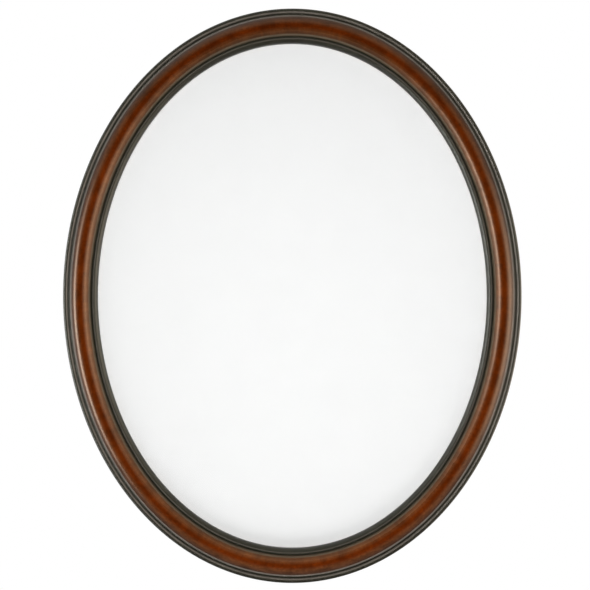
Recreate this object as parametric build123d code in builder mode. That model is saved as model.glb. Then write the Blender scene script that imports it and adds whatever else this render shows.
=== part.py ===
from build123d import *
import os
from math import ceil, cos, floor, radians, sin

# Oval wall picture frame, 14 x 18 inch glass, front towards -Y and hung with +Z up.
# The origin is the notch of the sawtooth hanger, on the plane of the rails' backs.
# Heights count from the backs towards the front, insets from the rabbet wall outward.

# Picture stack
glass_width = 355.6
glass_height = 457.2
glass_thickness = 2.0
card_thickness = 1.2
backing_thickness = 3.0
stack_slack = 0.15  # from the backing board to the plane of the rails' backs
glass_clearance = 0.9  # from the edge of the glass to the rabbet wall

# Moulding section
moulding_width = 30.0
moulding_depth = 22.0
rabbet_lip = 6.3  # ledge that the glass rests on
sight_overhang = 1.2  # of the rounded sight edge past the ledge
crown_rise = 3.8
outer_bead_radius = 2.1
outer_bead_drop = 4.7  # crest of the outer bead below the crest of the crown
outer_quirk_floor = 0.7
outer_quirk_run = 2.1  # how far the wall of the quirk leans
inner_quirk_floor = 1.0
inner_quirk_run = 1.4
lip_drop = 5.6  # crest of the sight lip below the crest of the crown
lip_rise = 1.7  # crest of the sight lip above the floor of the inner quirk
lip_flat = 0.7
lip_wall_run = 0.4
lip_round_radius = 3.5
arris_round = 0.5
back_chamfer = 0.8

# Finger joints between the rails
finger_length = 9.0
finger_pitch = 5.5
finger_tip = 1.0
joint_overrun_angle = 5.0  # how far a rail's blank runs past its joint, in degrees of the oval

# Turn buttons and their screws
button_thickness = 1.2
button_heel_radius = 5.0
button_tip_radius = 3.5
button_reach = 14.0  # from the screw to the tip
button_edge_round = 0.4
button_play = 0.1  # above and below the button
screw_inset = 8.0  # from the rabbet wall to the screw
screw_shank_radius = 1.45
screw_length = 11.0  # in the wood
screw_point = 3.0
screw_head_radius = 2.9
screw_head_height = 1.8
screw_head_edge = 0.5  # straight edge under the dome
recess_span = 3.2
recess_width = 0.8
recess_depth = 1.0
running_clearance = 0.08
pilot_clearance = 0.05

# Sawtooth hanger and its nails
hanger_length = 46.0
hanger_foot = 6.5  # flat end that a nail holds down
hanger_height = 9.0
hanger_thickness = 1.0
hanger_rise = 2.0  # of the toothed middle off the wood
hanger_ramp = 3.0
hanger_corner = 2.5
hanger_inset = 6.5  # from the rabbet wall to the points of the teeth
tooth_pitch = 3.0
tooth_depth = 1.8
tooth_tip = 0.3
nail_shank_radius = 0.75
nail_length = 9.0  # in the wood
nail_point = 1.5
nail_head_radius = 1.7
nail_head_height = 0.7

# Wall bumpers
bumper_radius = 6.0
bumper_height = 4.2
bumper_taper = 14.0  # degrees
bumper_edge_round = 0.8

cut_overrun = 2.0

# Places round the oval, in degrees of the ellipse, from +X towards +Z
full_turn = 360.0
quarter_turn = full_turn / 4
rail_names = ("right_rail", "top_rail", "left_rail", "bottom_rail")
buttons_per_rail = 2
bumper_spread = 34.0  # of each bumper from the middle of the bottom rail

# Derived sizes
rabbet_depth = glass_thickness + card_thickness + backing_thickness + stack_slack
rabbet_x = glass_width / 2 + glass_clearance
rabbet_z = glass_height / 2 + glass_clearance
oval_middle_z = -(rabbet_z + hanger_inset + tooth_depth)
sight_x = -rabbet_lip - sight_overhang
outer_reach = moulding_width + sight_x
bumper_inset = outer_reach / 2  # in the middle of the rails' backs
head_seat = button_thickness + 2 * button_play
hanger_middle = hanger_length - 2 * (hanger_foot + hanger_ramp)
rail_span = full_turn / len(rail_names)
rail_middles = {name: index * rail_span for index, name in enumerate(rail_names)}
bottom_angle = rail_middles["bottom_rail"]
bumper_angles = {
    "left_bumper": bottom_angle - bumper_spread,
    "right_bumper": bottom_angle + bumper_spread,
}

front = Vector(0, -1, 0)
oval_plane = Plane(origin=(0, 0, oval_middle_z), x_dir=(1, 0, 0), z_dir=front)


def outward(angle):
    """Direction square to the rabbet wall, away from the glass."""
    return Vector(cos(radians(angle)) / rabbet_x, 0, sin(radians(angle)) / rabbet_z).normalized()


def wall_point(angle):
    """Point at the foot of the rabbet wall, on the plane of the backs."""
    x = rabbet_x * cos(radians(angle))
    z = rabbet_z * sin(radians(angle))
    return Vector(x, 0, oval_middle_z + z)


def section_plane(angle):
    """Plane across a rail: x outward from the rabbet wall, y towards the front."""
    away = outward(angle)
    return Plane(origin=wall_point(angle), x_dir=away, z_dir=away.cross(front))


def joint_plane(angle):
    """Plane along the rabbet wall: x round the oval, y towards the front."""
    away = outward(angle)
    return Plane(origin=wall_point(angle), x_dir=front.cross(away), z_dir=away)


def back_plane(angle, inset):
    """Plane on the rails' backs, inset from the rabbet wall: x outward, z away from the wood."""
    away = outward(angle)
    return Plane(origin=wall_point(angle) + away * inset, x_dir=away, z_dir=-front)


def button_angles(rail_middle):
    """Where a rail's turn buttons sit, spread evenly along it."""
    step = rail_span / buttons_per_rail
    return [rail_middle + (i + 0.5) * step - rail_span / 2 for i in range(buttons_per_rail)]


def hanger_nail_planes():
    """Where the two nails of the hanger go in, x across and z away from the wood."""
    across = (hanger_length - hanger_foot) / 2
    up = hanger_height / 2 - tooth_depth
    return [Plane(origin=(side * across, 0, up), x_dir=(1, 0, 0), z_dir=-front) for side in (-1, 1)]


def finger_line():
    """Zigzag of the finger joint, along the wall and towards the front, past both faces."""
    half_length = finger_length / 2
    half_tip = finger_tip / 2
    half_pitch = finger_pitch / 2
    points = []
    for i in range(-1, ceil(moulding_depth / finger_pitch) + 1):
        height = i * finger_pitch
        points.append((-half_length, height + half_tip))
        points.append((half_length, height + half_pitch - half_tip))
        points.append((half_length, height + half_pitch + half_tip))
        points.append((-half_length, height + finger_pitch - half_tip))
    return points


def export(builder, name):
    builder.part.label = name
    export_step(builder.part, f"parts/{name}.step")


os.makedirs("parts", exist_ok=True)

# Rails: the moulding section swept along the rabbet wall, with fingers cut in both ends
joint_line = finger_line()
joint_reach = radians(joint_overrun_angle) * rabbet_z + finger_length
crest = moulding_depth
outer_bead_foot = crest - outer_bead_drop - outer_bead_radius
lip_crest = crest - lip_drop
lip_round_foot = lip_crest - lip_round_radius
inner_floor = lip_crest - lip_rise
arris_height = crest - crown_rise
outer_floor_x = outer_reach - 2 * outer_bead_radius
outer_wall_x = outer_floor_x - outer_quirk_floor
outer_arris_x = outer_wall_x - outer_quirk_run
lip_round_x = sight_x + lip_round_radius
lip_arris_x = lip_round_x + lip_flat
lip_floor_x = lip_arris_x + lip_wall_run
inner_wall_x = lip_floor_x + inner_quirk_floor
inner_arris_x = inner_wall_x + inner_quirk_run
crown_middle_x = (outer_arris_x + inner_arris_x) / 2

for rail_name, middle_angle in rail_middles.items():
    first_angle = middle_angle - rail_span / 2
    last_angle = middle_angle + rail_span / 2
    sweep_start = first_angle - joint_overrun_angle
    sweep_size = rail_span + 2 * joint_overrun_angle
    with BuildPart() as rail:
        with BuildLine(oval_plane) as wall_line:
            EllipticalCenterArc((0, 0), rabbet_x, rabbet_z, sweep_start, arc_size=sweep_size)
        with BuildSketch(section_plane(sweep_start)) as section:
            with BuildLine():
                Polyline(
                    (sight_x, lip_round_foot),
                    (-rabbet_lip, rabbet_depth),
                    (0, rabbet_depth),
                    (0, 0),
                    (outer_reach - back_chamfer, 0),
                    (outer_reach, back_chamfer),
                    (outer_reach, outer_bead_foot),
                )
                ThreePointArc(
                    (outer_reach, outer_bead_foot),
                    (outer_reach - outer_bead_radius, outer_bead_foot + outer_bead_radius),
                    (outer_floor_x, outer_bead_foot),
                )
                Polyline(
                    (outer_floor_x, outer_bead_foot),
                    (outer_wall_x, outer_bead_foot),
                    (outer_arris_x, arris_height),
                )
                ThreePointArc(
                    (outer_arris_x, arris_height),
                    (crown_middle_x, crest),
                    (inner_arris_x, arris_height),
                )
                Polyline(
                    (inner_arris_x, arris_height),
                    (inner_wall_x, inner_floor),
                    (lip_floor_x, inner_floor),
                    (lip_arris_x, lip_crest),
                    (lip_round_x, lip_crest),
                )
                CenterArc((lip_round_x, lip_round_foot), lip_round_radius, quarter_turn, quarter_turn)
            make_face()
            fillet(section.vertices().group_by(Axis.Y)[-1], arris_round)
        sweep(path=wall_line.wire())
        for joint_angle, side in ((first_angle, -1), (last_angle, 1)):
            beyond = side * joint_reach
            with BuildSketch(joint_plane(joint_angle)):
                with BuildLine():
                    Polyline(
                        *joint_line,
                        (beyond, joint_line[-1][1]),
                        (beyond, joint_line[0][1]),
                        close=True,
                    )
                make_face()
            extrude(amount=moulding_width + cut_overrun, both=True, mode=Mode.SUBTRACT)
        with Locations(*[back_plane(angle, screw_inset) for angle in button_angles(middle_angle)]):
            Hole(screw_shank_radius + pilot_clearance, depth=screw_length + pilot_clearance)
        if rail_name == "top_rail":
            with Locations(*hanger_nail_planes()):
                Hole(nail_shank_radius + pilot_clearance, depth=nail_length + pilot_clearance)
    export(rail, rail_name)

# Picture stack: three ovals of one size, from the back to the rabbet ledge
stack = {"backing_board": backing_thickness, "picture_card": card_thickness, "glass_pane": glass_thickness}
stack_height = stack_slack
for layer_name, thickness in stack.items():
    with BuildPart() as layer:
        with BuildSketch(oval_plane.offset(stack_height)):
            Ellipse(glass_width / 2, glass_height / 2)
        extrude(amount=thickness)
    export(layer, layer_name)
    stack_height += thickness

# Turn buttons: flat tongues that lie on the backs and reach over the backing board
screw_places = []
for middle_angle in rail_middles.values():
    for angle in button_angles(middle_angle):
        screw_places.append(back_plane(angle, screw_inset))

for number, place in enumerate(screw_places, start=1):
    with BuildPart() as button:
        with BuildSketch(place.offset(button_play)):
            Circle(button_heel_radius)
            with Locations((button_tip_radius - button_reach, 0)):
                Circle(button_tip_radius)
            make_hull()
            Circle(screw_shank_radius + running_clearance, mode=Mode.SUBTRACT)
        extrude(amount=button_thickness)
        rear_face = button.faces().sort_by(Axis.Y)[-1]
        fillet(rear_face.outer_wire().edges(), button_edge_round)
    export(button, f"turn_button_{number}")

# Screws of the turn buttons: domed head with a cross recess, tapered point
with BuildPart() as screw:
    with BuildSketch(Plane.XZ):
        with BuildLine():
            dome_foot = head_seat + screw_head_edge
            Polyline(
                (0, -screw_length),
                (screw_shank_radius, screw_point - screw_length),
                (screw_shank_radius, head_seat),
                (screw_head_radius, head_seat),
                (screw_head_radius, dome_foot),
            )
            dome_rise = screw_head_height - screw_head_edge
            EllipticalCenterArc((0, dome_foot), screw_head_radius, dome_rise, arc_size=quarter_turn)
            Line((0, dome_foot + dome_rise), (0, -screw_length))
        make_face()
    revolve(axis=Axis.Z)
    with BuildSketch(Plane.XY.offset(head_seat + screw_head_height)):
        Rectangle(recess_span, recess_width)
        Rectangle(recess_width, recess_span)
    extrude(amount=-recess_depth, mode=Mode.SUBTRACT)

with BuildPart() as turn_button_screws:
    with Locations(*screw_places):
        add(screw.part)
export(turn_button_screws, "turn_button_screws")

# Sawtooth hanger: a strip bent off the wood in its middle, with notches along its lower edge
half_foot = hanger_middle / 2 + hanger_ramp
bend = [
    (-hanger_length / 2, 0),
    (-half_foot, 0),
    (-hanger_middle / 2, hanger_rise),
    (hanger_middle / 2, hanger_rise),
    (half_foot, 0),
    (hanger_length / 2, 0),
]
tooth_count = 2 * floor((hanger_middle / tooth_pitch - 1) / 2) + 1
notch_half = (tooth_pitch - tooth_tip) / 2

with BuildPart() as sawtooth_hanger:
    with BuildSketch(Plane.XY.offset(-tooth_depth)):
        with BuildLine():
            Polyline(*bend, *[(x, y + hanger_thickness) for x, y in reversed(bend)], close=True)
        make_face()
    extrude(amount=hanger_height)
    with BuildSketch(Plane.XZ):
        with Locations((0, hanger_height / 2 - tooth_depth)):
            RectangleRounded(hanger_length, hanger_height, hanger_corner)
        with GridLocations(tooth_pitch, tooth_pitch, tooth_count, 1):
            Polygon((0, 0), (-notch_half, -tooth_depth), (notch_half, -tooth_depth), mode=Mode.SUBTRACT)
    extrude(amount=-(hanger_rise + hanger_thickness), mode=Mode.INTERSECT)
    with Locations(*hanger_nail_planes()):
        Hole(nail_shank_radius + pilot_clearance)
export(sawtooth_hanger, "sawtooth_hanger")

# Nails of the hanger
with BuildPart() as nail:
    with BuildSketch(Plane.XZ):
        with BuildLine():
            Polyline(
                (0, -nail_length),
                (nail_shank_radius, nail_point - nail_length),
                (nail_shank_radius, hanger_thickness),
                (nail_head_radius, hanger_thickness),
                (nail_head_radius, hanger_thickness + nail_head_height),
                (0, hanger_thickness + nail_head_height),
                close=True,
            )
        make_face()
    revolve(axis=Axis.Z)

with BuildPart() as hanger_nails:
    with Locations(*hanger_nail_planes()):
        add(nail.part)
export(hanger_nails, "hanger_nails")

# Wall bumpers: soft tapered pads low on the back
for bumper_name, angle in bumper_angles.items():
    with BuildPart() as bumper:
        with BuildSketch(back_plane(angle, bumper_inset)):
            Circle(bumper_radius)
        extrude(amount=bumper_height, taper=bumper_taper)
        fillet(bumper.edges().sort_by(Axis.Y)[-1], bumper_edge_round)
    export(bumper, bumper_name)
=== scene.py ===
from math import asin, atan2, ceil, cos, degrees, hypot, pi, radians, sin, tan

import bmesh
import bpy
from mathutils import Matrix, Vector


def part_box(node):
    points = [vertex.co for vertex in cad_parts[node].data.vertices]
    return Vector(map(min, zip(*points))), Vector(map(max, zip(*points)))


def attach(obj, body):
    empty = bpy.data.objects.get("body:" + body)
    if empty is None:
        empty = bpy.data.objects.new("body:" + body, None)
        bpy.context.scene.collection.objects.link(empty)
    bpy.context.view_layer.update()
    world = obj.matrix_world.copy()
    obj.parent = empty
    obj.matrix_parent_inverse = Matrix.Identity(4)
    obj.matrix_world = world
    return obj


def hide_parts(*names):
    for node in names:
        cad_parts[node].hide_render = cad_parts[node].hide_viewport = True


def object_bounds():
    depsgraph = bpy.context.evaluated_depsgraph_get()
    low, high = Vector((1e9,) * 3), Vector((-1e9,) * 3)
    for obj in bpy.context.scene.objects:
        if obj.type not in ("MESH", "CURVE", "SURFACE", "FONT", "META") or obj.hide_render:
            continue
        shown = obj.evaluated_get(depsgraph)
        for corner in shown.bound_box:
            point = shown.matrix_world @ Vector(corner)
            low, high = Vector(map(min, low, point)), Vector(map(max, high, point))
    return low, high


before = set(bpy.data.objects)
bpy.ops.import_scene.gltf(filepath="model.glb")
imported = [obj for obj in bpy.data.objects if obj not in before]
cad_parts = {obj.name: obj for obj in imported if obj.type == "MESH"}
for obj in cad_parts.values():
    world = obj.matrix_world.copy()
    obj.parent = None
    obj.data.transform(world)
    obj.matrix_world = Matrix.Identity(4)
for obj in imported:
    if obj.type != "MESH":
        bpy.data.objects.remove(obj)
cad_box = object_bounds()

# Moulding, in metres: heights count from the backs to the front, x from the rabbet wall outward
GLASS_CLEARANCE = 0.0009
RABBET_LIP = 0.0063
RABBET_DEPTH = 0.00635
SIGHT_X = -0.0075
OUTER_BEAD_RADIUS = 0.0021
OUTER_BEAD_DROP = 0.0047
OUTER_QUIRK_FLOOR = 0.0007
OUTER_QUIRK_RUN = 0.0021
CROWN_RISE = 0.0038
INNER_QUIRK_FLOOR = 0.0010
INNER_QUIRK_RUN = 0.0014
LIP_DROP = 0.0056
LIP_RISE = 0.0017
LIP_FLAT = 0.0007
LIP_WALL_RUN = 0.0004
LIP_ROUND_RADIUS = 0.0035
BACK_CHAMFER = 0.0008
GROOVE_FILL = 0.0003  # from the foot of the outer bead up to the groove beside it
GROOVE_RAMP_RUN = 0.0013
GROOVE_RAMP_RISE = 0.0007

# Eased corners of the moulding: how far from the corner the curve starts
ARRIS_SOFTNESS = 0.00045
QUIRK_SOFTNESS = 0.00022
COVE_SOFTNESS = 0.0006
EASED_SHARE = 0.6  # of a side that an eased corner may take

# Steps of the round stretches, and the angle from which an edge is sharp
CROWN_STEPS = 40
BEAD_STEPS = 18
LIP_STEPS = 14
SOFT_STEPS = 6
RINGS_PER_RAIL = 170
RAIL_SHARP_ANGLE = 38.0  # degrees

# Rails: the middle of each, in degrees round the oval, and the fingers that join them
RAIL_MIDDLES = {"right_rail": 0.0, "top_rail": 90.0, "left_rail": 180.0, "bottom_rail": 270.0}
RAIL_SPAN = 360.0 / len(RAIL_MIDDLES)
FINGER_LENGTH = 0.0090
FINGER_PITCH = 0.0055
FINGER_TIP = 0.0010
BREAK_REACH = 5e-6  # nearer than this to a finger's corner, a point of the outline stands for it
SPLIT_REACH = 2 * BREAK_REACH
JOINT_NUDGE = 1e-4  # radians
JOINT_ROUNDS = 4

# Finishes of a rail, by the order of its materials
CROWN_SLOT, BLACK_SLOT, WOOD_SLOT = range(3)

# Rubber bumpers
BUMPER_TAPER = 10.0  # degrees
BUMPER_ROUND = 0.0008
BUMPER_FOOT = 0.0005
BUMPER_FOOT_STEP = 0.0003
BUMPER_DISH_DEPTH = 0.00035
BUMPER_DISH_SHARE = 0.75  # of the flat top
BUMPER_STEPS = 6
BUMPER_SEGMENTS = 64
BUMPER_SHARP_ANGLE = 50.0  # degrees

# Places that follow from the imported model
glass_low, glass_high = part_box("glass_pane")
rabbet_x = (glass_high.x - glass_low.x) / 2 + GLASS_CLEARANCE
rabbet_z = (glass_high.z - glass_low.z) / 2 + GLASS_CLEARANCE
oval_z = (glass_high.z + glass_low.z) / 2
rail_length = pi * hypot(rabbet_x, rabbet_z) / 2 ** 0.5 / 2  # nearly, at the rabbet wall
crest = -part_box("top_rail")[0].y
outer_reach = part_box("right_rail")[1].x - rabbet_x
outer_bead_foot = crest - OUTER_BEAD_DROP - OUTER_BEAD_RADIUS
outer_floor_x = outer_reach - 2 * OUTER_BEAD_RADIUS
outer_arris_x = outer_floor_x - OUTER_QUIRK_FLOOR - OUTER_QUIRK_RUN
lip_crest = crest - LIP_DROP
lip_round_x = SIGHT_X + LIP_ROUND_RADIUS
lip_round_foot = lip_crest - LIP_ROUND_RADIUS
lip_arris_x = lip_round_x + LIP_FLAT
lip_floor_x = lip_arris_x + LIP_WALL_RUN
inner_floor = lip_crest - LIP_RISE
inner_wall_x = lip_floor_x + INNER_QUIRK_FLOOR
inner_arris_x = inner_wall_x + INNER_QUIRK_RUN
arris_height = crest - CROWN_RISE
crown_x = (outer_arris_x + inner_arris_x) / 2
crown_half_width = (outer_arris_x - inner_arris_x) / 2
bare_height = BACK_CHAMFER / 4  # up to which the back is bare wood

# Lines of worn lacquer, painted lighter also as the highlight of the arrises: place across the moulding,
# half width, and how strong the line is
BEAD_LINE_SHARE = 0.32  # of the outer bead's radius
INNER_LINE_OFFSET = 0.0004
WORN_AND_HIGHLIGHT_LINES = (
    (outer_floor_x + BEAD_LINE_SHARE * OUTER_BEAD_RADIUS, 0.0010, 0.68),
    (outer_arris_x, 0.0015, 1.00),
    (inner_arris_x - INNER_LINE_OFFSET, 0.0010, 0.50),
    (lip_round_x, 0.0007, 0.34),
)
BROWN_LINE_CORE = 0.0008  # as near as this to the crown's inner arris, the worn and painted-highlight line is brown
BROWN_LINE_EDGE = 0.0025

# Photograph's framing, square to the front
PHOTO_PIXELS = 590
METRES_PER_PIXEL = 0.0008777
OVAL_MIDDLE_PIXEL = (292.31, 295.78)
CAMERA_DISTANCE = 0.860  # in front of the widest part of the outline
SENSOR_WIDTH = 36.0  # millimetres

# Lamps: azimuth (0 is the camera's side, 90 the right), elevation, distance, width, height, radiance
FILL_LAMP = (0.0, 1.5, 0.95, 0.10, 0.10, 222.0)
BACK_LAMPS = {
    "back_left": (145.0, 30.0, 2.0, 1.0, 1.0, 3.0),
    "back_right": (-140.0, 10.0, 2.0, 0.6, 1.2, 1.6),
}

# Softboxes in the gloss: azimuth, elevation, half width and half height in degrees, radiance
SOFTBOXES = (
    (-54.0, -8.0, 8.4, 15.5, 17.4),
    (58.0, -4.5, 19.0, 16.2, 6.2),
    (-110.0, -11.0, 18.0, 16.0, 3.2),
    (112.0, -11.0, 18.0, 16.0, 4.6),
    (0.0, 50.0, 60.0, 16.0, 0.42),
)

# Room round the object: radiance by height, factors by side, and the pale wall behind the object
ROOM_LOW = 0.08
ROOM_HIGH = 0.72
ROOM_LEFT = 1.3
ROOM_RIGHT = 0.7
ROOM_FALLOFF = 1.3  # power by which the room darkens towards the camera
WALL_RADIANCE = 0.45
WALL_SPAN = (0.1, 0.6)  # Y of the directions over which the wall comes in
WARM_SPAN = (5.0, 35.0)  # degrees of azimuth over which the gloss turns warm

# Floor
FLOOR_RADIUS = 1.2
FLOOR_SEGMENTS = 96
FLOOR_DROP = 0.36  # below the frame
FLOOR_FORWARD = 0.15
FLOOR_FADE_START = 0.35
FLOOR_FADE_STOP = 0.97 * FLOOR_RADIUS
FLOOR_FADE_LEAST = 0.60  # white at the middle of the floor

# Colours, linear
WHITE = (1.0, 1.0, 1.0, 1.0)
WARM_SIDE = (1.0, 0.88, 0.76, 1.0)
BLACK_LACQUER = (0.0122, 0.0118, 0.0068, 1.0)
BLACK_GLOSS = (1.0, 1.0, 0.94, 1.0)
# worn lines: grey and brown of worn lacquer, which also paint the highlight of the arrises
WORN_AND_HIGHLIGHT_GREY = (0.260, 0.231, 0.199, 1.0)
WORN_AND_HIGHLIGHT_BROWN = (0.290, 0.205, 0.130, 1.0)
GLAZED_SHOULDER = (0.056, 0.0240, 0.0130, 1.0)
WALNUT_OUTER = (0.106, 0.0320, 0.0090, 1.0)
WALNUT_DEEP = (0.098, 0.0155, 0.0010, 1.0)
WALNUT_INNER = (0.118, 0.0380, 0.0106, 1.0)
WALNUT_EDGE = (0.071, 0.0258, 0.0086, 1.0)
WALNUT_GLOSS = (1.0, 0.81, 0.64, 1.0)
WOOD_DARK = (0.205, 0.105, 0.048, 1.0)
WOOD_BROWN = (0.330, 0.190, 0.096, 1.0)
WOOD_TAN = (0.400, 0.245, 0.130, 1.0)
WOOD_PALE = (0.440, 0.285, 0.160, 1.0)
OVERSPRAY = (0.022, 0.017, 0.013, 1.0)
GLUE = (0.060, 0.033, 0.016, 1.0)
GLASS_TINT = (0.998, 1.0, 0.999, 1.0)
BOARD_DARK = (0.072, 0.032, 0.013, 1.0)
BOARD_BROWN = (0.165, 0.080, 0.034, 1.0)
BOARD_PALE = (0.285, 0.155, 0.072, 1.0)
ZINC_BRIGHT = (0.62, 0.63, 0.65, 1.0)
ZINC_DULL = (0.44, 0.45, 0.46, 1.0)
BRASS_BRIGHT = (0.80, 0.60, 0.26, 1.0)
BRASS_DULL = (0.58, 0.40, 0.16, 1.0)
RUBBER_BLACK = (0.016, 0.016, 0.017, 1.0)
RUBBER_BLOOM = (0.040, 0.039, 0.038, 1.0)

# Colours across the crown, from its inner arris (0) to its outer one (1)
CROWN_STOPS = (
    (0.04, WALNUT_EDGE),
    (0.16, WALNUT_INNER),
    (0.36, WALNUT_DEEP),
    (0.48, WALNUT_DEEP),
    (0.64, WALNUT_OUTER),
    (0.88, GLAZED_SHOULDER),
)

# Colours of the bare wood and the hardboard, from dark to pale fibres
WOOD_STOPS = ((0.00, WOOD_DARK), (0.40, WOOD_BROWN), (0.70, WOOD_TAN), (1.00, WOOD_PALE))
BOARD_STOPS = ((0.00, BOARD_DARK), (0.45, BOARD_BROWN), (1.00, BOARD_PALE))

# Grain of the moulding's finish, in metres: along X and Z of the oval, then across the moulding
CROWN_MOTTLE = (0.015, 0.015, 0.0070)
CROWN_CLOUD = (0.060, 0.060, 0.030)
CROWN_CURL = (0.0022, 0.0022, 0.012)
CROWN_FLECK = (0.0026, 0.0026, 0.0020)
CROWN_SATIN = (0.004, 0.004, 0.004)
CROWN_PEEL = (0.0016, 0.0016, 0.0016)
BLACK_CLOUD = (0.018, 0.018, 0.008)
BLACK_SPECKS = (0.0007, 0.0007, 0.0007)
BLACK_SATIN = (0.003, 0.003, 0.003)
BLACK_PEEL = (0.0012, 0.0012, 0.0012)
LINE_PATCHES = (0.011, 0.011, 0.011)

# Grain of a board, in metres: along it, across it and through it
WALNUT_PORES = (0.0070, 0.00042, 0.00042)
WOOD_WARP = (0.050, 0.010, 0.010)
WOOD_RINGS = (0.140, 0.0021, 0.0040)
WOOD_FIBRE = (0.0120, 0.00035, 0.00035)
WOOD_PORES = (0.0045, 0.00028, 0.00028)
OVERSPRAY_SPOTS = (0.0060, 0.0060, 0.0060)

# Grain of the other pieces and the floor, in metres: along X, Y and Z
GLASS_SMEARS = (0.060, 0.060, 0.025)
CARD_TOOTH = (0.0006, 0.0006, 0.0006)
CARD_CLOUD = (0.020, 0.020, 0.020)
BOARD_FIBRE = (0.0016, 0.0016, 0.0016)
BOARD_CLOUD = (0.055, 0.055, 0.055)
BOARD_FLECKS = (0.0040, 0.0040, 0.0040)
ZINC_BRUSHING = (0.0060, 0.0004, 0.0004)
BRASS_BRUSHING = (0.0080, 0.0004, 0.0003)
PLATE_CLOUD = (0.0045, 0.0045, 0.0045)
PLATE_SCRATCHES = (0.0150, 0.0006, 0.0090)
RUBBER_PATCHES = (0.0028, 0.0028, 0.0028)
RUBBER_GRAIN = (0.00022, 0.00022, 0.00022)
FLOOR_DUST = (0.05, 0.05, 0.05)

# Other lengths of the patterns, in metres
BOARD_SHIFT = (0.7, 0.31)  # along and across the grain, from one board's figure to the next
WARP_REACH = 0.004
OVERSPRAY_REACH = 0.0060
GLUE_LINE_CORE = 0.00008
GLUE_LINE_EDGE = 0.00035
WEAVE_PITCH = 0.0023

# Depth of the relief, in metres
PEEL_DEPTH = 0.0001
WALNUT_PORE_DEPTH = 0.00005
WOOD_FIBRE_DEPTH = 0.00012
WOOD_PORE_DEPTH = 0.0001
CARD_TOOTH_DEPTH = 0.00005
WEAVE_DEPTH = 0.00025
BOARD_FIBRE_DEPTH = 0.0002
BRUSHED_DEPTH = 0.00004
SCRATCH_DEPTH = 0.00003
RUBBER_GRAIN_DEPTH = 0.00004

# Tones: how far each pattern darkens and lightens its colour
CROWN_MOTTLE_TONE = (0.70, 1.26)
CROWN_CLOUD_TONE = (0.90, 1.10)
CROWN_CURL_TONE = (0.93, 1.07)
CROWN_FLECK_TONE = (0.84, 1.16)
WALNUT_PORE_TONE = (0.86, 1.03)
CROWN_PAINTED_SHADE_BY_HEIGHT = (1.16, 0.84)  # painted shade: factor at the bottom and at the top of the oval
BLACK_CLOUD_TONE = (0.75, 1.30)
BLACK_SPECK_TONE = (0.85, 1.15)
WOOD_FIBRE_TONE = (0.80, 1.12)
WOOD_PORE_TONE = (0.62, 1.0)
BOARD_CLOUD_TONE = (0.82, 1.15)
BOARD_FLECK_TONE = (0.55, 1.0)
BOARD_FLECK_SPAN = (0.05, 0.16)  # share of a cell from a fleck's core to its edge

# Shades of grey of the card, with what its tooth adds, and of the floor
CARD_SHADE = (0.925, 0.935)
CARD_TOOTH_SHADE = (-0.006, 0.006)
FLOOR_SHADE = (0.88, 0.90)

# Strength of the worn lines with their painted highlight, the overspray and the glue lines
LINE_STRENGTH = (0.72, 1.0)
OVERSPRAY_RAGGEDNESS = (-0.45, 0.35)  # share of the overspray's reach
OVERSPRAY_SPAN = (0.35, 1.05)
OVERSPRAY_STRENGTH = 0.85
GLUE_STRENGTH = 0.75

# Roughness of the finishes over their patterns
CROWN_ROUGHNESS = (0.22, 0.27)
CROWN_EDGE_ROUGHNESS = 0.22  # more, at the crown's inner arris
CROWN_EDGE_SPAN = (0.04, 0.22)  # share of the crown's width over which that ends
LINE_ROUGHNESS = 0.10  # more, along the worn lines with their painted highlight
BLACK_ROUGHNESS = (0.42, 0.50)
WOOD_ROUGHNESS = (0.74, 0.58)
GLASS_ROUGHNESS = (0.01, 0.05)
CARD_ROUGHNESS = (0.80, 0.92)
BOARD_ROUGHNESS = (0.80, 0.62)
PLATE_ROUGHNESS = (0.24, 0.42)
BRUSHED_ROUGHNESS = (-0.05, 0.05)  # more or less, along the brushing
RUBBER_ROUGHNESS = (0.62, 0.82)
FLOOR_ROUGHNESS = 0.9

# Gloss of the surfaces
BLACK_SPECULAR = 0.68
CARD_SPECULAR = 0.2
GLASS_IOR = 1.5


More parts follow.
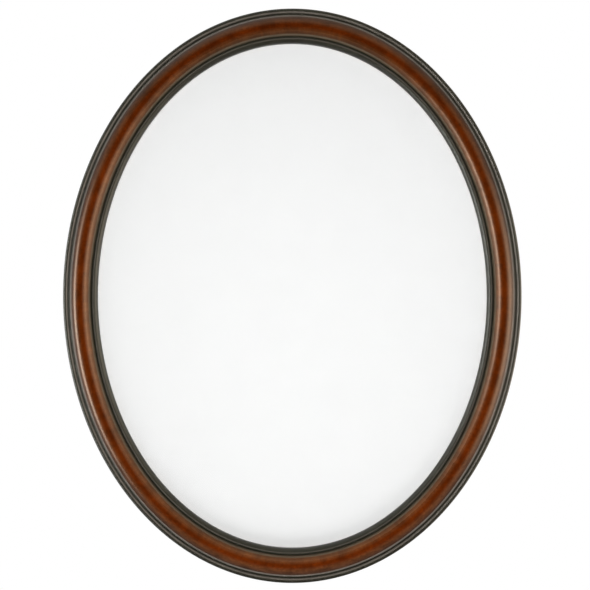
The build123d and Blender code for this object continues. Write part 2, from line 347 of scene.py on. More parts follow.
class Shader:
    """A node tree under construction: short calls that add a node and hand back its output."""

    def __init__(self, tree):
        self.tree = tree

    def feed(self, socket, value):
        """Link a socket to another node's output, or set it to a plain value."""
        if isinstance(value, bpy.types.NodeSocket):
            self.tree.links.new(value, socket)
        else:
            socket.default_value = value

    def node(self, kind, inputs=(), **settings):
        """A new node with its settings, then its inputs by name or number."""
        made = self.tree.nodes.new(kind)
        for key, value in settings.items():
            setattr(made, key, value)
        for key, value in dict(inputs).items():
            self.feed(made.inputs[key], value)
        return made

    def math(self, operation, first, second=0.0):
        return self.node("ShaderNodeMath", {0: first, 1: second}, operation=operation).outputs[0]

    def total(self, first, *others):
        for other in others:
            first = self.math("ADD", first, other)
        return first

    def product(self, first, *others):
        for other in others:
            first = self.math("MULTIPLY", first, other)
        return first

    def away(self, value, place):
        """How far a value is from a place, either way."""
        return self.math("ABSOLUTE", self.math("SUBTRACT", value, place))

    def ease(self, value, low, high, start=0.0, stop=1.0):
        """Smooth step of a value from low to high, as start to stop."""
        inputs = {"Value": value, "From Min": low, "From Max": high, "To Min": start, "To Max": stop}
        return self.node("ShaderNodeMapRange", inputs, interpolation_type="SMOOTHSTEP").outputs[0]

    def spread(self, value, low, high, start=0.0, stop=1.0):
        """Straight, clamped change of a value from low to high, as start to stop."""
        inputs = {"Value": value, "From Min": low, "From Max": high, "To Min": start, "To Max": stop}
        return self.node("ShaderNodeMapRange", inputs).outputs[0]

    def vary(self, noise, start=0.0, stop=1.0, low=0.3, high=0.7):
        """A noise as start to stop, where low and high are what it mostly stays between."""
        return self.spread(noise, low, high, start, stop)

    def mix(self, share, first, second, blend="MIX"):
        inputs = {0: share, 6: first, 7: second}
        return self.node("ShaderNodeMix", inputs, data_type="RGBA", blend_type=blend).outputs[2]

    def grey(self, value):
        return self.node("ShaderNodeCombineColor", {0: value, 1: value, 2: value}).outputs[0]

    def shaded(self, colour, shade):
        """A colour made lighter or darker by a number."""
        return self.mix(1.0, colour, self.grey(shade), "MULTIPLY")

    def ramp(self, value, stops):
        """Colours along a value from 0 to 1, from (place, colour) pairs in order."""
        made = self.node("ShaderNodeValToRGB", {"Fac": value})
        elements = made.color_ramp.elements
        while len(elements) < len(stops):
            elements.new(0.5)
        for element, (place, colour) in zip(elements, stops):
            element.position = place
            element.color = colour
        return made.outputs["Color"]

    def attribute(self, name):
        return self.node("ShaderNodeAttribute", attribute_name=name).outputs["Vector"]

    def place(self):
        """Where the surface is, in the object's own metres."""
        return self.node("ShaderNodeTexCoord").outputs["Object"]

    def parts(self, vector):
        return self.node("ShaderNodeSeparateXYZ", {0: vector}).outputs

    def vector_math(self, operation, first, second):
        return self.node("ShaderNodeVectorMath", {0: first, 1: second}, operation=operation).outputs[0]

    def grid(self, vector, sizes):
        """The place counted in cells of the given sizes, so that a noise has that grain."""
        return self.vector_math("MULTIPLY", vector, tuple(1.0 / size for size in sizes))

    def noise(self, vector, sizes, detail=3.0, roughness=0.5, distortion=0.0):
        inputs = {
            "Vector": self.grid(vector, sizes),
            "Scale": 1.0,
            "Detail": detail,
            "Roughness": roughness,
            "Distortion": distortion,
        }
        return self.node("ShaderNodeTexNoise", inputs).outputs["Fac"]

    def cells(self, vector, sizes, feature="F1"):
        inputs = {"Vector": self.grid(vector, sizes), "Scale": 1.0}
        return self.node("ShaderNodeTexVoronoi", inputs, feature=feature).outputs["Distance"]

    def bump(self, height, depth, strength, under=None):
        """Relief of a depth in metres, on top of another one where that is given."""
        inputs = {"Height": height, "Strength": strength, "Distance": depth}
        if under is not None:
            inputs["Normal"] = under
        return self.node("ShaderNodeBump", inputs).outputs["Normal"]


class Finish(Shader):
    """A material under construction."""

    def __init__(self, name):
        self.material = bpy.data.materials.new(name)
        self.material.use_nodes = True
        super().__init__(self.material.node_tree)
        self.surface = self.tree.nodes["Principled BSDF"]
        self.output = self.tree.nodes["Material Output"]

    def set(self, **values):
        """Inputs of the surface: base_color=..., roughness=..., by their names with underscores."""
        for key, value in values.items():
            name = key.replace("_", " ").title().replace("Ior", "IOR")
            self.feed(self.surface.inputs[name], value)

    def show_mixed(self, share, first, second):
        """Put a mix of two shaders on the surface, with this share of the second."""
        inputs = {0: share, 1: first.outputs[0], 2: second.outputs[0]}
        mixed = self.node("ShaderNodeMixShader", inputs)
        self.feed(self.output.inputs["Surface"], mixed.outputs[0])


def worn_and_highlight_lines(finish, x, ring):
    """How strong the worn lines are, a lighter colour that is part wear and part painted highlight: thin
    lines on the arrises, uneven along the rail.
    """
    worn_and_highlight = 0.0
    for place, half_width, strength in WORN_AND_HIGHLIGHT_LINES:
        # each line: worn lacquer and painted highlight
        worn_and_highlight = finish.total(worn_and_highlight, finish.ease(finish.away(x, place), 0.0, half_width, strength, 0.0))
    uneven = finish.noise(ring, LINE_PATCHES, detail=4.0, roughness=0.6)
    return finish.product(worn_and_highlight, finish.vary(uneven, *LINE_STRENGTH, high=0.62))


def worn_and_highlight_colour(finish, x):
    """Grey where the black is worn and a highlight is painted, browner on the crown's inner arris."""
    greyed = finish.ease(finish.away(x, inner_arris_x), BROWN_LINE_CORE, BROWN_LINE_EDGE)
    return finish.mix(greyed, WORN_AND_HIGHLIGHT_BROWN, WORN_AND_HIGHLIGHT_GREY)


def crown_shade(finish, ring, pores):
    """How light the walnut is: mottle, clouds, curl, pores, flecks, and painted shade that darkens it
    towards the top.
    """
    mottle = finish.noise(ring, CROWN_MOTTLE, detail=4.0, roughness=0.58, distortion=0.35)
    cloud = finish.noise(ring, CROWN_CLOUD, detail=2.0)
    curl = finish.noise(ring, CROWN_CURL, roughness=0.55, distortion=0.4)
    fleck = finish.noise(ring, CROWN_FLECK, roughness=0.6)
    height = finish.parts(ring)[1]
    return finish.product(
        finish.vary(mottle, *CROWN_MOTTLE_TONE, low=0.32, high=0.68),
        finish.vary(cloud, *CROWN_CLOUD_TONE),
        finish.vary(curl, *CROWN_CURL_TONE),
        finish.vary(pores, *WALNUT_PORE_TONE, low=0.28, high=0.50),
        finish.vary(fleck, *CROWN_FLECK_TONE),
        # painted shade: darker towards the top of the oval
        finish.spread(height, oval_z - rabbet_z, oval_z + rabbet_z, *CROWN_PAINTED_SHADE_BY_HEIGHT),
    )


def crown_finish():
    """Lacquered walnut crown: mottled figure, dark glaze on its outer shoulder, rubbed arrises with a
    painted highlight, and painted shade towards the top.
    """
    finish = Finish("walnut_crown")
    x = finish.parts(finish.attribute("section"))[0]
    ring = finish.attribute("ring")
    across = finish.spread(x, inner_arris_x, outer_arris_x)
    pores = finish.noise(finish.attribute("board"), WALNUT_PORES, roughness=0.6)
    walnut = finish.shaded(finish.ramp(across, CROWN_STOPS), crown_shade(finish, ring, pores))
    worn_and_lit = worn_and_highlight_lines(finish, x, ring)
    # worn lines: worn lacquer and painted highlight
    colour = finish.mix(worn_and_lit, walnut, worn_and_highlight_colour(finish, x))
    satin = finish.noise(ring, CROWN_SATIN, detail=4.0)
    roughness = finish.total(
        finish.vary(satin, *CROWN_ROUGHNESS),
        finish.product(worn_and_lit, LINE_ROUGHNESS),
        finish.ease(across, *CROWN_EDGE_SPAN, CROWN_EDGE_ROUGHNESS, 0.0),
    )
    peel = finish.bump(finish.noise(ring, CROWN_PEEL, detail=2.0), PEEL_DEPTH, strength=0.05)
    normal = finish.bump(pores, WALNUT_PORE_DEPTH, strength=0.10, under=peel)
    finish.set(base_color=colour, roughness=roughness, normal=normal, specular_tint=WALNUT_GLOSS)
    return finish.material


def black_finish():
    """Black satin lacquer of the bead, quirks, lip and edge, rubbed on its arrises, with a painted
    highlight there.
    """
    finish = Finish("black_lacquer")
    x = finish.parts(finish.attribute("section"))[0]
    ring = finish.attribute("ring")
    cloud = finish.noise(ring, BLACK_CLOUD, detail=4.0, roughness=0.6)
    specks = finish.noise(ring, BLACK_SPECKS, detail=2.0)
    shade = finish.product(
        finish.vary(cloud, *BLACK_CLOUD_TONE),
        finish.vary(specks, *BLACK_SPECK_TONE, low=0.25, high=0.75),
    )
    worn_and_lit = worn_and_highlight_lines(finish, x, ring)
    # worn lines: worn lacquer and painted highlight
    colour = finish.mix(worn_and_lit, finish.shaded(BLACK_LACQUER, shade), worn_and_highlight_colour(finish, x))
    satin = finish.noise(ring, BLACK_SATIN, detail=4.0)
    roughness = finish.total(
        finish.vary(satin, *BLACK_ROUGHNESS),
        finish.product(worn_and_lit, LINE_ROUGHNESS),
    )
    peel = finish.bump(finish.noise(ring, BLACK_PEEL, detail=2.0), PEEL_DEPTH, strength=0.06)
    finish.set(base_color=colour, roughness=roughness, normal=peel)
    finish.set(specular_ior_level=BLACK_SPECULAR, specular_tint=BLACK_GLOSS)
    return finish.material


def oversprayed(finish, colour, x, board):
    """A colour under the ragged edge of black lacquer that drifted round from the side."""
    spots = finish.noise(board, OVERSPRAY_SPOTS, detail=5.0, roughness=0.7)
    edge = finish.spread(x, outer_reach - OVERSPRAY_REACH, outer_reach)
    ragged = finish.total(edge, finish.vary(spots, *OVERSPRAY_RAGGEDNESS))
    return finish.mix(finish.ease(ragged, *OVERSPRAY_SPAN, 0.0, OVERSPRAY_STRENGTH), colour, OVERSPRAY)


def glue_lined(finish, colour, along):
    """A colour with the dark line of glue at both ends of the rail."""
    from_end = finish.math("MINIMUM", along, finish.math("SUBTRACT", rail_length, along))
    line = finish.ease(from_end, GLUE_LINE_CORE, GLUE_LINE_EDGE, GLUE_STRENGTH, 0.0)
    return finish.mix(line, colour, GLUE)


def bare_wood():
    """Bare wood of the backs and the rabbet: straight grain along each board, glue lines, overspray."""
    finish = Finish("bare_wood")
    board = finish.attribute("board")
    section = finish.parts(finish.attribute("section"))
    warp = finish.noise(board, WOOD_WARP)
    sway = finish.spread(warp, 0.0, 1.0, -WARP_REACH, WARP_REACH)
    bent = finish.vector_math("ADD", board, finish.node("ShaderNodeCombineXYZ", {1: sway}).outputs[0])
    rings = finish.noise(bent, WOOD_RINGS, detail=4.0, roughness=0.62)
    fibre = finish.noise(board, WOOD_FIBRE, detail=4.0, roughness=0.65)
    pores = finish.noise(board, WOOD_PORES, detail=2.0)
    shade = finish.product(
        finish.vary(fibre, *WOOD_FIBRE_TONE, low=0.25, high=0.75),
        finish.vary(pores, *WOOD_PORE_TONE, high=0.42),
    )
    colour = finish.shaded(finish.ramp(finish.vary(rings), WOOD_STOPS), shade)
    colour = oversprayed(finish, colour, section[0], board)
    colour = glue_lined(finish, colour, section[2])
    roughness = finish.vary(fibre, *WOOD_ROUGHNESS, low=0.25, high=0.75)
    pitted = finish.bump(pores, WOOD_PORE_DEPTH, strength=0.30)
    normal = finish.bump(fibre, WOOD_FIBRE_DEPTH, strength=0.35, under=pitted)
    finish.set(base_color=colour, roughness=roughness, normal=normal)
    return finish.material


def wall_point(angle):
    """Point at the foot of the rabbet wall, by the angle of the ellipse in radians."""
    return Vector((rabbet_x * cos(angle), 0.0, oval_z + rabbet_z * sin(angle)))


def outward(angle):
    """Direction square to the rabbet wall, away from the glass."""
    return Vector((cos(angle) / rabbet_x, 0.0, sin(angle) / rabbet_z)).normalized()


def section_point(angle, x, height):
    """Point of the section at x and height, carried round the oval to an angle."""
    return wall_point(angle) + outward(angle) * x + Vector((0.0, -height, 0.0))


def finger_offset(height):
    """How far the joint leans along the rail at a height: the zigzag of the fingers."""
    step = height % FINGER_PITCH
    from_tip = min(step, FINGER_PITCH - step)
    rise = (from_tip - FINGER_TIP / 2) / (FINGER_PITCH / 2 - FINGER_TIP)
    return FINGER_LENGTH * (min(max(rise, 0.0), 1.0) - 0.5)


def finger_heights():
    """Heights at which the zigzag of the fingers turns."""
    half = FINGER_PITCH / 2
    heights = []
    for i in range(ceil(crest / half) + 1):
        heights += [i * half - FINGER_TIP / 2, i * half + FINGER_TIP / 2]
    return heights


def joint_angle(joint, x, height):
    """Angle at which a line of the moulding meets the fingers of a joint, found in a few rounds."""
    origin = wall_point(joint)
    away = outward(joint)
    round_oval = Vector((-away.z, 0.0, away.x))
    wanted = finger_offset(height)
    angle = joint
    for _ in range(JOINT_ROUNDS):
        reached = (section_point(angle, x, height) - origin).dot(round_oval)
        beyond = (section_point(angle + JOINT_NUDGE, x, height) - origin).dot(round_oval)
        angle += JOINT_NUDGE * (wanted - reached) / (beyond - reached)
    return angle


def arc(middle_x, middle_height, radius, start, stop, steps):
    """Points of a round stretch, from start to stop in degrees."""
    angles = [radians(start + (stop - start) * i / steps) for i in range(steps + 1)]
    return [(middle_x + radius * cos(a), middle_height + radius * sin(a)) for a in angles]


def crown_arc():
    """Points of the crown, from its outer arris over the crest to its inner one."""
    radius = hypot(crown_half_width, CROWN_RISE) ** 2 / (2 * CROWN_RISE)
    half_angle = degrees(atan2(crown_half_width, radius - CROWN_RISE))
    return arc(crown_x, crest - radius, radius, 90 - half_angle, 90 + half_angle, CROWN_STEPS)


def bead_arc():
    """Points of the outer bead, from the side of the frame over its top into the groove."""
    stop = 180 - degrees(asin(GROOVE_FILL / OUTER_BEAD_RADIUS))
    return arc(outer_reach - OUTER_BEAD_RADIUS, outer_bead_foot, OUTER_BEAD_RADIUS, 0, stop, BEAD_STEPS)


def stretch(points, first_reach=0.0, last_reach=0.0):
    """Points as corners, (x, height, reach of the easing), of which only the two ends are eased."""
    between = [(x, height, 0.0) for x, height in points[1:-1]]
    return [(*points[0], first_reach), *between, (*points[-1], last_reach)]


def softened(corners):
    """Outline of (x, height, reach) corners, each eased by a curve that starts its reach away."""
    result = []
    for i, (x, height, reach) in enumerate(corners):
        if reach == 0.0:
            result.append((x, height))
            continue
        corner = Vector((x, height))
        before = Vector(corners[i - 1][:2]) - corner
        after = Vector(corners[(i + 1) % len(corners)][:2]) - corner
        start = corner + before * min(reach / before.length, EASED_SHARE)
        stop = corner + after * min(reach / after.length, EASED_SHARE)
        for step in range(SOFT_STEPS + 1):
            t = step / SOFT_STEPS
            eased = start * (1 - t) ** 2 + corner * 2 * t * (1 - t) + stop * t ** 2
            result.append((eased.x, eased.y))
    return result


def finger_breaks(points):
    """The outline with a point wherever it passes a corner of the fingers."""
    result = []
    for i, first in enumerate(points):
        second = points[(i + 1) % len(points)]
        rise = second[1] - first[1]
        result.append(first)
        low, high = sorted((first[1], second[1]))
        between = [h for h in finger_heights() if low + BREAK_REACH < h < high - BREAK_REACH]
        for height in sorted(between, reverse=rise < 0):
            share = (height - first[1]) / rise
            result.append((first[0] + (second[0] - first[0]) * share, height))
    return result


def section_outline():
    """Closed outline of the moulding, from the sight edge round the back to the front."""
    bead = bead_arc()
    groove_x, groove_height = bead[-1]
    lip = arc(lip_round_x, lip_round_foot, LIP_ROUND_RADIUS, 90, 180, LIP_STEPS)
    corners = [
        (SIGHT_X, lip_round_foot, 0.0),
        (-RABBET_LIP, RABBET_DEPTH, QUIRK_SOFTNESS),
        (0.0, RABBET_DEPTH, 0.0),
        (0.0, 0.0, QUIRK_SOFTNESS),
        (outer_reach - BACK_CHAMFER, 0.0, QUIRK_SOFTNESS),
        (outer_reach, BACK_CHAMFER, QUIRK_SOFTNESS),
        *stretch(bead, last_reach=QUIRK_SOFTNESS),
        (groove_x - GROOVE_RAMP_RUN, groove_height + GROOVE_RAMP_RISE, COVE_SOFTNESS),
        *stretch(crown_arc(), ARRIS_SOFTNESS, ARRIS_SOFTNESS),
        (inner_wall_x, inner_floor, COVE_SOFTNESS),
        (lip_floor_x, inner_floor, QUIRK_SOFTNESS),
        (lip_arris_x, lip_crest, QUIRK_SOFTNESS),
        *stretch(lip[:-1]),
    ]
    return finger_breaks(softened(corners))


def face_slot(first, second):
    """Which finish a stretch of the outline between two points has."""
    x = (first[0] + second[0]) / 2
    height = (first[1] + second[1]) / 2
    in_rabbet = -RABBET_LIP < x < QUIRK_SOFTNESS and height < RABBET_DEPTH + QUIRK_SOFTNESS
    if height < bare_height or in_rabbet:
        return WOOD_SLOT
    on_crown = inner_arris_x < x < outer_arris_x and height > arris_height - ARRIS_SOFTNESS
    return CROWN_SLOT if on_crown else BLACK_SLOT


def board_place(point, middle, number):
    """A point in the frame of a rail's own board: along its grain, across it and through it."""
    radial = Vector((cos(middle), 0.0, sin(middle)))
    grain = Vector((-sin(middle), 0.0, cos(middle)))
    offset = point - Vector((0.0, 0.0, oval_z))
    along, across = BOARD_SHIFT
    return (offset.dot(grain) + along * number, offset.dot(radial) + across * number, offset.y)


def rail_points(middle_degrees, number, outline):
    """Points of a rail, ring by ring from joint to joint, and where each lies: in the section and along
    the rail, round the oval and across the moulding, and in the board."""
    middle = radians(middle_degrees)
    half_span = radians(RAIL_SPAN / 2)
    starts = [joint_angle(middle - half_span, x, height) for x, height in outline]
    stops = [joint_angle(middle + half_span, x, height) for x, height in outline]
    points = []
    places = {"section": [], "ring": [], "board": []}
    for ring in range(RINGS_PER_RAIL + 1):
        share = ring / RINGS_PER_RAIL
        for (x, height), start, stop in zip(outline, starts, stops):
            angle = start + (stop - start) * share
            point = section_point(angle, x, height)
            wall = wall_point(angle)
            points.append(point)
            places["section"].append((x, height, share * rail_length))
            places["ring"].append((wall.x, wall.z, x - height))
            places["board"].append(board_place(point, middle, number))
    return points, places


def end_faces(outline):
    """The end of a rail as triangles of the outline's points, split along the edges of the fingers."""
    flat = bmesh.new()
    flat.faces.new([flat.verts.new((x, height, 0.0)) for x, height in outline])
    for height in finger_heights():
        bmesh.ops.bisect_plane(
            flat,
            geom=flat.verts[:] + flat.edges[:] + flat.faces[:],
            dist=SPLIT_REACH,
            plane_co=(0.0, height, 0.0),
            plane_no=(0.0, 1.0, 0.0),
        )
    bmesh.ops.triangulate(flat, faces=flat.faces[:])
    flat.verts.index_update()
    if len(flat.verts) != len(outline):
        raise ValueError("the outline lacks a point where it passes a finger")
    triangles = [tuple(vert.index for vert in face.verts) for face in flat.faces]
    flat.free()
    return triangles


def rail_faces(outline):
    """Faces of a rail by the order of its points, and the finish of each: its sides, then both ends."""
    count = len(outline)
    faces, slots = [], []
    for ring in range(RINGS_PER_RAIL):
        low, high = ring * count, (ring + 1) * count
        for i in range(count):
            j = (i + 1) % count
            faces.append((low + i, low + j, high + j, high + i))
            slots.append(face_slot(outline[i], outline[j]))
    last_ring = RINGS_PER_RAIL * count
    for a, b, c in end_faces(outline):
        faces += [(a, b, c), (last_ring + c, last_ring + b, last_ring + a)]
        slots += [WOOD_SLOT, WOOD_SLOT]
    return faces, slots


def rail_mesh(name, points, places, faces, slots):
    """Mesh of a rail, smooth but for its sharp corners, with its points' places as attributes."""
    mesh = bpy.data.meshes.new(name)
    mesh.from_pydata(points, [], faces)
    mesh.polygons.foreach_set("material_index", slots)
    mesh.polygons.foreach_set("use_smooth", [True] * len(faces))
    for attribute_name, values in places.items():
        attribute = mesh.attributes.new(attribute_name, "FLOAT_VECTOR", "POINT")
        attribute.data.foreach_set("vector", [number for value in values for number in value])
    turned_out = bmesh.new()
    turned_out.from_mesh(mesh)
    bmesh.ops.recalc_face_normals(turned_out, faces=turned_out.faces)
    turned_out.to_mesh(mesh)
    turned_out.free()
    mesh.set_sharp_from_angle(angle=radians(RAIL_SHARP_ANGLE))
    return mesh


def add_piece(name, mesh):
    piece = bpy.data.objects.new(name, mesh)
    bpy.context.scene.collection.objects.link(piece)
    return piece


def build_rails():
    """Four rails of finished moulding in place of the plain ones."""
    outline = section_outline()
    faces, slots = rail_faces(outline)
    finishes = (crown_finish(), black_finish(), bare_wood())
    for number, (node, middle) in enumerate(RAIL_MIDDLES.items()):
        name = f"{node}_moulding"
        points, places = rail_points(middle, number, outline)
        piece = add_piece(name, rail_mesh(name, points, places, faces, slots))
        for finish in finishes:
            piece.data.materials.append(finish)
        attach(piece, "frame")
        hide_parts(node)


def bumper_profile(radius, height):
    """Half section of a moulded bumper from its middle outward, as (radius, height): dished top,
    round shoulder, tapered flank and a thin foot."""
    foot = radius - BUMPER_FOOT_STEP
    top = foot - height * tan(radians(BUMPER_TAPER))
    shoulder = top - BUMPER_ROUND
    dish = shoulder * BUMPER_DISH_SHARE
    profile = [(0.0, height - BUMPER_DISH_DEPTH)]
    for step in range(1, BUMPER_STEPS + 1):
        share = step / BUMPER_STEPS
        profile.append((dish * share, height - BUMPER_DISH_DEPTH * (1 + cos(pi * share)) / 2))
    profile += arc(shoulder, height - BUMPER_ROUND, BUMPER_ROUND, 90, BUMPER_TAPER, BUMPER_STEPS)
    profile += [(foot, BUMPER_FOOT), (radius - BUMPER_FOOT / 2, BUMPER_FOOT)]
    profile += [(radius, BUMPER_FOOT / 2), (radius, 0.0), (0.0, 0.0)]
    return profile


def turned_ring(turned, middle, radius, height):
    """Points round the Y axis through a point. On the axis itself they are all one point."""
    if radius == 0.0:
        return [turned.verts.new(middle + Vector((0.0, height, 0.0)))] * BUMPER_SEGMENTS
    angles = [2 * pi * i / BUMPER_SEGMENTS for i in range(BUMPER_SEGMENTS)]
    return [turned.verts.new(middle + Vector((radius * cos(a), height, radius * sin(a)))) for a in angles]


def turned_mesh(name, profile, middle):
    """Solid turned about the Y axis through a point, from a half section with both ends on that axis."""
    turned = bmesh.new()
    rings = [turned_ring(turned, middle, radius, height) for radius, height in profile]
    for first, second in zip(rings, rings[1:]):
        for i in range(BUMPER_SEGMENTS):
            j = (i + 1) % BUMPER_SEGMENTS
            corners = (first[i], first[j], second[j], second[i])
            face = turned.faces.new(list(dict.fromkeys(corners)))
            face.smooth = True
    bmesh.ops.recalc_face_normals(turned, faces=turned.faces)
    mesh = bpy.data.meshes.new(name)
    turned.to_mesh(mesh)
    turned.free()
    mesh.set_sharp_from_angle(angle=radians(BUMPER_SHARP_ANGLE))
    return mesh


def build_bumpers():
    """Moulded rubber bumpers in place of the plain pads."""
    rubber = dark_rubber()
    for node in ("left_bumper", "right_bumper"):
        low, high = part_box(node)
        middle = Vector(((low.x + high.x) / 2, low.y, (low.z + high.z) / 2))
        profile = bumper_profile((high.x - low.x) / 2, high.y - low.y)
        piece = add_piece(f"{node}_moulded", turned_mesh(f"{node}_moulded", profile, middle))
        piece.data.materials.append(rubber)
        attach(piece, "frame")
        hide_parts(node)


def clear_glass():
    """Thin clear pane: clear straight through, with the mirror of a glass face and faint smears."""
    finish = Finish("clear_glass")
    finish.tree.nodes.remove(finish.surface)
    smears = finish.noise(finish.place(), GLASS_SMEARS)
    roughness = finish.vary(smears, *GLASS_ROUGHNESS)
    clear = finish.node("ShaderNodeBsdfTransparent", {"Color": GLASS_TINT})
    mirror = finish.node("ShaderNodeBsdfGlossy", {"Color": WHITE, "Roughness": roughness})
    fresnel = finish.node("ShaderNodeFresnel", {"IOR": GLASS_IOR}).outputs[0]
    leaving = finish.node("ShaderNodeNewGeometry").outputs["Backfacing"]
    share = finish.product(fresnel, finish.math("SUBTRACT", 1.0, leaving))
    finish.show_mixed(share, clear, mirror)
    return finish.material


def white_card():
    """Blank white card with a faint paper tooth."""
    finish = Finish("white_card")
    place = finish.place()
    tooth = finish.noise(place, CARD_TOOTH, detail=4.0, roughness=0.6)
    cloud = finish.noise(place, CARD_CLOUD)
    shade = finish.total(finish.vary(tooth, *CARD_TOOTH_SHADE), finish.vary(cloud, *CARD_SHADE))
    roughness = finish.vary(tooth, *CARD_ROUGHNESS)
    normal = finish.bump(tooth, CARD_TOOTH_DEPTH, strength=0.10)
    finish.set(base_color=finish.grey(shade), roughness=roughness, normal=normal)
    finish.set(specular_ior_level=CARD_SPECULAR)
    return finish.material


def hardboard():
    """Brown hardboard: matted fibres and dark flecks, with a screen's weave pressed into it."""
    finish = Finish("hardboard")
    place = finish.place()
    x, _, z = finish.parts(place)
    fibre = finish.noise(place, BOARD_FIBRE, detail=6.0, roughness=0.72, distortion=1.2)
    cloud = finish.noise(place, BOARD_CLOUD, detail=4.0, roughness=0.55)
    flecks = finish.cells(place, BOARD_FLECKS)
    shade = finish.product(
        finish.vary(cloud, *BOARD_CLOUD_TONE),
        finish.ease(flecks, *BOARD_FLECK_SPAN, *BOARD_FLECK_TONE),
    )
    colour = finish.shaded(finish.ramp(finish.vary(fibre, low=0.28, high=0.72), BOARD_STOPS), shade)
    warp = finish.math("SINE", finish.product(x, 2 * pi / WEAVE_PITCH))
    weft = finish.math("SINE", finish.product(z, 2 * pi / WEAVE_PITCH))
    matted = finish.bump(fibre, BOARD_FIBRE_DEPTH, strength=0.30)
    normal = finish.bump(finish.product(warp, weft), WEAVE_DEPTH, strength=0.35, under=matted)
    finish.set(base_color=colour, roughness=finish.vary(fibre, *BOARD_ROUGHNESS), normal=normal)
    return finish.material


def plated_steel(name, bright, dull, brushing):
    """Plated sheet steel: brushed one way, a little clouded, with fine scratches."""
    finish = Finish(name)
    place = finish.place()
    brushed = finish.noise(place, brushing, detail=4.0, roughness=0.6)
    cloud = finish.noise(place, PLATE_CLOUD, detail=4.0, roughness=0.6)
    scratches = finish.cells(place, PLATE_SCRATCHES, "DISTANCE_TO_EDGE")
    colour = finish.mix(finish.vary(cloud, low=0.36, high=0.66), bright, dull)
    roughness = finish.total(
        finish.vary(cloud, *PLATE_ROUGHNESS),
        finish.vary(brushed, *BRUSHED_ROUGHNESS),
    )
    scratched = finish.bump(scratches, SCRATCH_DEPTH, strength=0.10)
    normal = finish.bump(brushed, BRUSHED_DEPTH, strength=0.20, under=scratched)
    finish.set(base_color=colour, metallic=1.0, roughness=roughness, normal=normal)
    return finish.material


def dark_rubber():
    """Matte moulded rubber with a faint bloom."""
    finish = Finish("dark_rubber")
    place = finish.place()
    bloom = finish.noise(place, RUBBER_PATCHES, detail=5.0, roughness=0.65)
    grain = finish.noise(place, RUBBER_GRAIN, detail=2.0)
    colour = finish.mix(finish.vary(bloom, low=0.35), RUBBER_BLACK, RUBBER_BLOOM)
    normal = finish.bump(grain, RUBBER_GRAIN_DEPTH, strength=0.30)
    finish.set(base_color=colour, roughness=finish.vary(bloom, *RUBBER_ROUGHNESS), normal=normal)
    return finish.material


def dress(node_names, material):
    """Give CAD nodes a finished material."""
    for name in node_names:
        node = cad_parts[name]
        node.data.materials.clear()
        node.data.materials.append(material)


def dress_nodes():
    """Finish the pieces that keep their CAD shape."""
    dress(["glass_pane"], clear_glass())
    dress(["picture_card"], white_card())
    dress(["backing_board"], hardboard())
    buttons_and_screws = [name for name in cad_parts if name.startswith("turn_button_")]
    zinc = plated_steel("zinc_steel", ZINC_BRIGHT, ZINC_DULL, ZINC_BRUSHING)
    dress(buttons_and_screws + ["hanger_nails"], zinc)
    brass = plated_steel("brass_plate", BRASS_BRIGHT, BRASS_DULL, BRASS_BRUSHING)
    dress(["sawtooth_hanger"], brass)


def add_camera():
    """Camera square to the frame, at the photograph's distance and framing."""
    data = bpy.data.cameras.new("photo_camera")
    camera = bpy.data.objects.new("photo_camera", data)
    bpy.context.scene.collection.objects.link(camera)
    middle = PHOTO_PIXELS / 2
    x = (middle - OVAL_MIDDLE_PIXEL[0]) * METRES_PER_PIXEL
    z = oval_z - (middle - OVAL_MIDDLE_PIXEL[1]) * METRES_PER_PIXEL
    camera.location = (x, -outer_bead_foot - CAMERA_DISTANCE, z)
    camera.rotation_euler = (radians(90), 0.0, 0.0)
    data.sensor_width = SENSOR_WIDTH
    data.lens = SENSOR_WIDTH * CAMERA_DISTANCE / (PHOTO_PIXELS * METRES_PER_PIXEL)
    bpy.context.scene.camera = camera


def add_lamp(name, azimuth, elevation, distance, width, height, radiance):
    """Area lamp that looks at the middle of the oval."""
    a, e = radians(azimuth), radians(elevation)
    away = Vector((sin(a) * cos(e), -cos(a) * cos(e), sin(e)))
    data = bpy.data.lights.new(name, "AREA")
    data.shape = "RECTANGLE"
    data.size = width
    data.size_y = height
    data.energy = radiance * pi * width * height
    lamp = bpy.data.objects.new(name, data)
    lamp.location = Vector((0.0, 0.0, oval_z)) + away * distance
    lamp.rotation_euler = (-away).to_track_quat("-Z", "Y").to_euler()
    bpy.context.scene.collection.objects.link(lamp)
    return lamp


def add_lights():
    """A frontal fill for the colour, which leaves no gloss, and soft light on the back."""
    fill = add_lamp("front_fill", *FILL_LAMP)
    fill.visible_glossy = False
    fill.visible_camera = False
    fill.data.cycles.use_multiple_importance_sampling = False
    for name, lamp in BACK_LAMPS.items():
        add_lamp(name, *lamp)


def softbox_glow(shader, azimuth, elevation):
    """Brightness of the softboxes in the gloss, each a soft bell across and up and down."""
    glow = 0.0
    for middle, height, half_width, half_height, radiance in SOFTBOXES:
        across = shader.ease(shader.away(azimuth, middle), 0.0, 2 * half_width, radiance, 0.0)
        upright = shader.ease(shader.away(elevation, height), 0.0, 2 * half_height, 1.0, 0.0)
        glow = shader.total(glow, shader.product(across, upright))
    return glow


def room_glow(shader, direction):
    """Brightness of the room without the softboxes: dark behind the camera, brighter towards the sides
    and higher up, pale behind the object."""
    x, y, z = direction
    off_axis = shader.math("POWER", shader.spread(y, -1.0, 0.0), ROOM_FALLOFF)
    height = shader.spread(z, -1.0, 1.0, ROOM_LOW, ROOM_HIGH)
    side = shader.spread(x, -1.0, 1.0, ROOM_LEFT, ROOM_RIGHT)
    wall = shader.ease(y, *WALL_SPAN, 0.0, WALL_RADIANCE)
    return shader.total(shader.product(off_axis, shader.product(height, side)), wall)


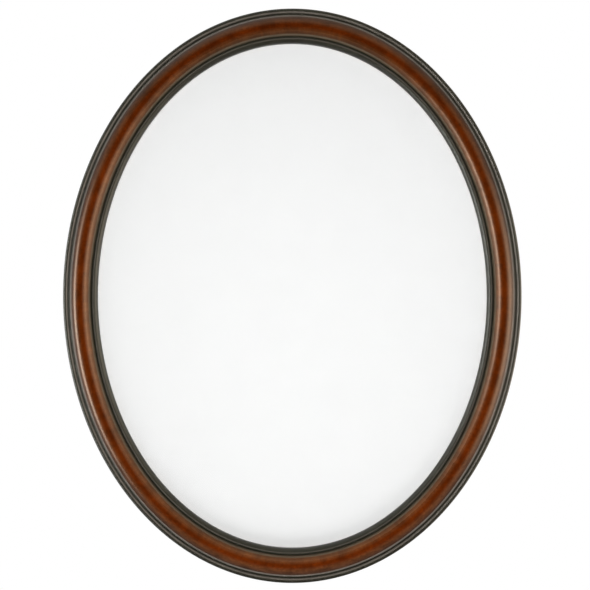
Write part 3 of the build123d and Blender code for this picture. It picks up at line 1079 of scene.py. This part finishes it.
def add_world():
    """White surroundings for the eye, and the room for all other light. Only the gloss also gets the
    softboxes, and is warmer on the right."""
    world = bpy.data.worlds.new("studio")
    bpy.context.scene.world = world
    world.use_nodes = True
    world.cycles.sampling_method = "NONE"
    shader = Shader(world.node_tree)
    background = world.node_tree.nodes["Background"]
    direction = shader.parts(shader.node("ShaderNodeTexCoord").outputs["Generated"])
    ahead = shader.product(direction[1], -1.0)
    azimuth = shader.math("DEGREES", shader.math("ARCTAN2", direction[0], ahead))
    elevation = shader.math("DEGREES", shader.math("ARCSINE", direction[2]))
    path = shader.node("ShaderNodeLightPath").outputs
    gloss = shader.product(path["Is Glossy Ray"], softbox_glow(shader, azimuth, elevation))
    studio = shader.total(room_glow(shader, direction), gloss)
    seen = shader.math("MAXIMUM", path["Is Camera Ray"], path["Is Transmission Ray"])
    unseen = shader.product(shader.math("SUBTRACT", 1.0, seen), studio)
    warmth = shader.product(path["Is Glossy Ray"], shader.ease(azimuth, *WARM_SPAN))
    shader.feed(background.inputs["Color"], shader.mix(warmth, WHITE, WARM_SIDE))
    shader.feed(background.inputs["Strength"], shader.total(seen, unseen))


def pale_floor():
    """Pale matte floor that fades into the white surroundings."""
    finish = Finish("pale_floor")
    place = finish.place()
    dust = finish.noise(place, FLOOR_DUST)
    finish.set(base_color=finish.grey(finish.vary(dust, *FLOOR_SHADE)), roughness=FLOOR_ROUGHNESS)
    reach = finish.node("ShaderNodeVectorMath", {0: place}, operation="LENGTH").outputs["Value"]
    fade = finish.ease(reach, FLOOR_FADE_START, FLOOR_FADE_STOP, FLOOR_FADE_LEAST, 1.0)
    seen = finish.node("ShaderNodeLightPath").outputs["Is Camera Ray"]
    glow = finish.node("ShaderNodeEmission", {"Color": WHITE, "Strength": 1.0})
    finish.show_mixed(finish.product(fade, seen), finish.surface, glow)
    return finish.material


def add_floor():
    """Round floor below the frame."""
    disc = bmesh.new()
    bmesh.ops.create_circle(disc, cap_ends=True, segments=FLOOR_SEGMENTS, radius=FLOOR_RADIUS)
    mesh = bpy.data.meshes.new("floor")
    disc.to_mesh(mesh)
    disc.free()
    mesh.materials.append(pale_floor())
    floor = add_piece("floor", mesh)
    floor.location = (0.0, -FLOOR_FORWARD, cad_box[0].z - FLOOR_DROP)
    floor.visible_glossy = False


build_rails()
build_bumpers()
dress_nodes()
add_camera()
add_lights()
add_world()
add_floor()

bpy.context.scene.view_settings.view_transform = "Standard"
